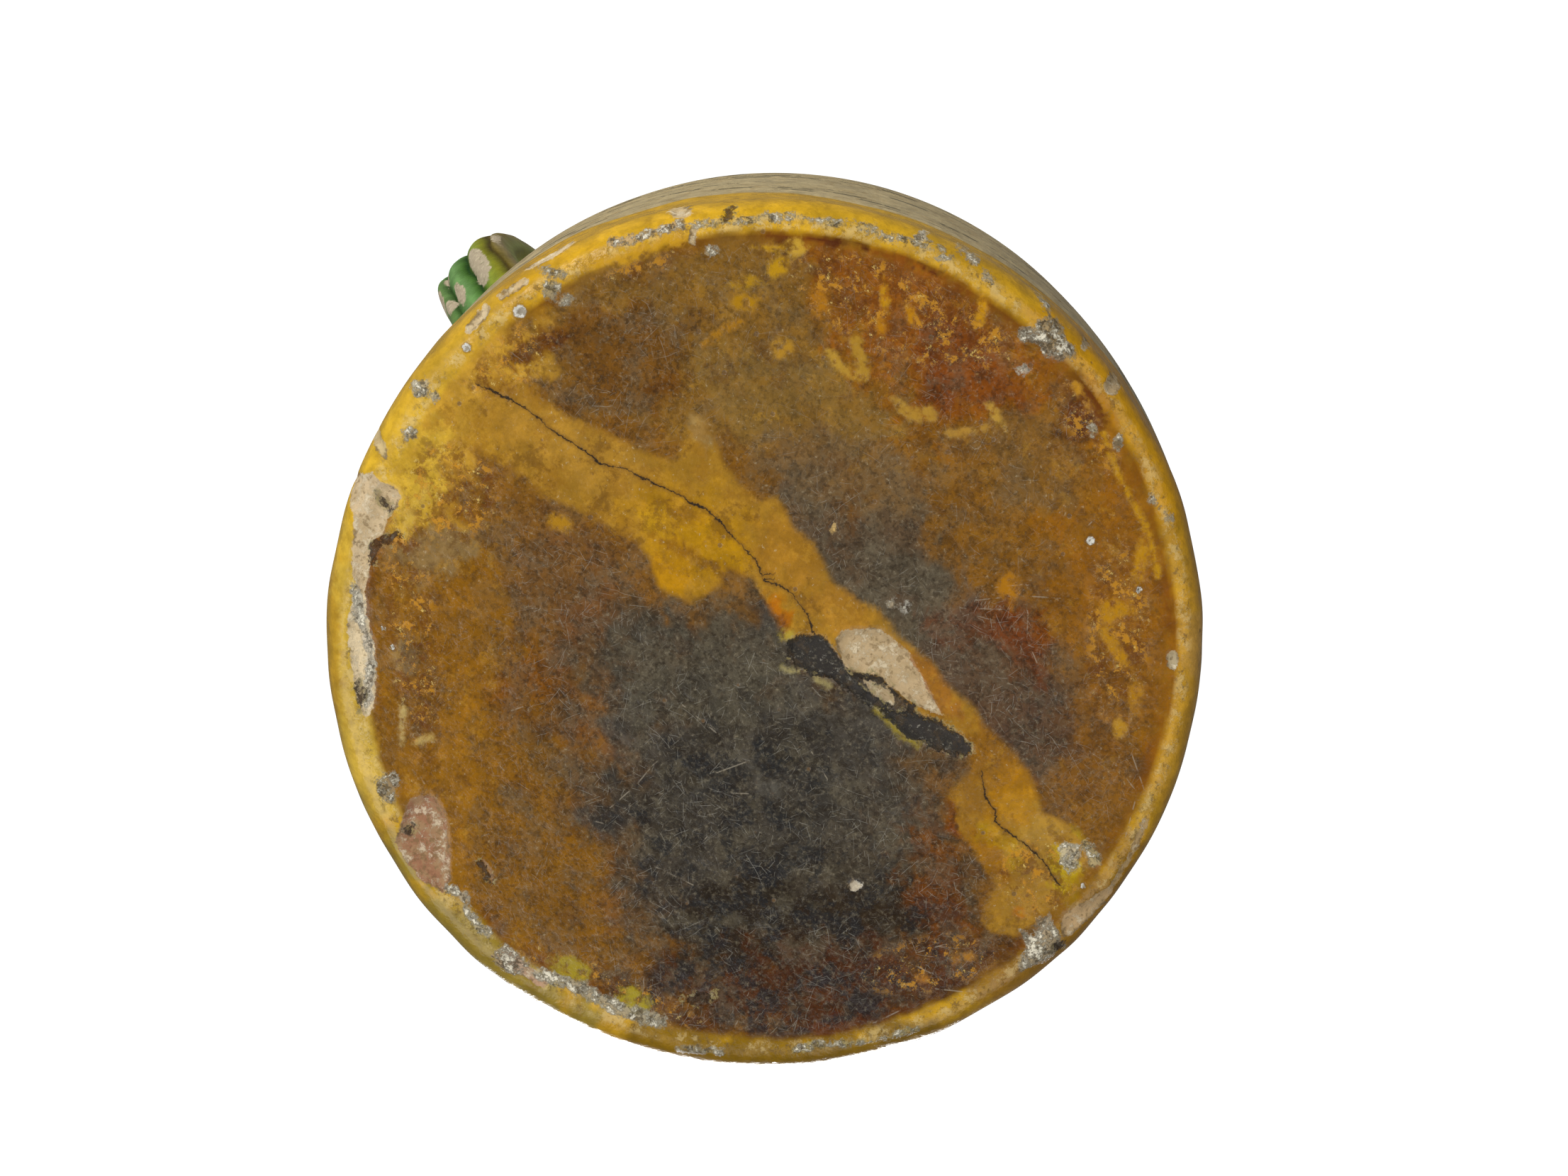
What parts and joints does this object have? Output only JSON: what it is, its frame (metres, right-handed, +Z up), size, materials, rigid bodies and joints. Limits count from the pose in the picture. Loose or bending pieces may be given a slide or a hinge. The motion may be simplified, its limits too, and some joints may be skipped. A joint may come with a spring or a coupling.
{
  "type": "glazed earthenware jug",
  "caption": "Squat one-handled pouring jug of lead-glazed earthenware with a flat glazed foot, full belly, short neck, pulled lip and ribbed strap handle.",
  "frame": {"origin": "centre of the flat foot, on the body's axis, at the surface the jug stands on", "axes": "+Z up along the body's axis, +X towards the handle, -X towards the pouring lip"},
  "size_m": [0.143, 0.1324, 0.178],
  "materials": {
    "lead_glazed_earthenware": "glossy honey, amber and brown lead glaze on the foot and base, cream above with thin brown brushwork, green on the handle, bare buff clay at chips"
  },
  "bodies": {
    "root": {"jug": "lead_glazed_earthenware"}
  },
  "joints": []
}
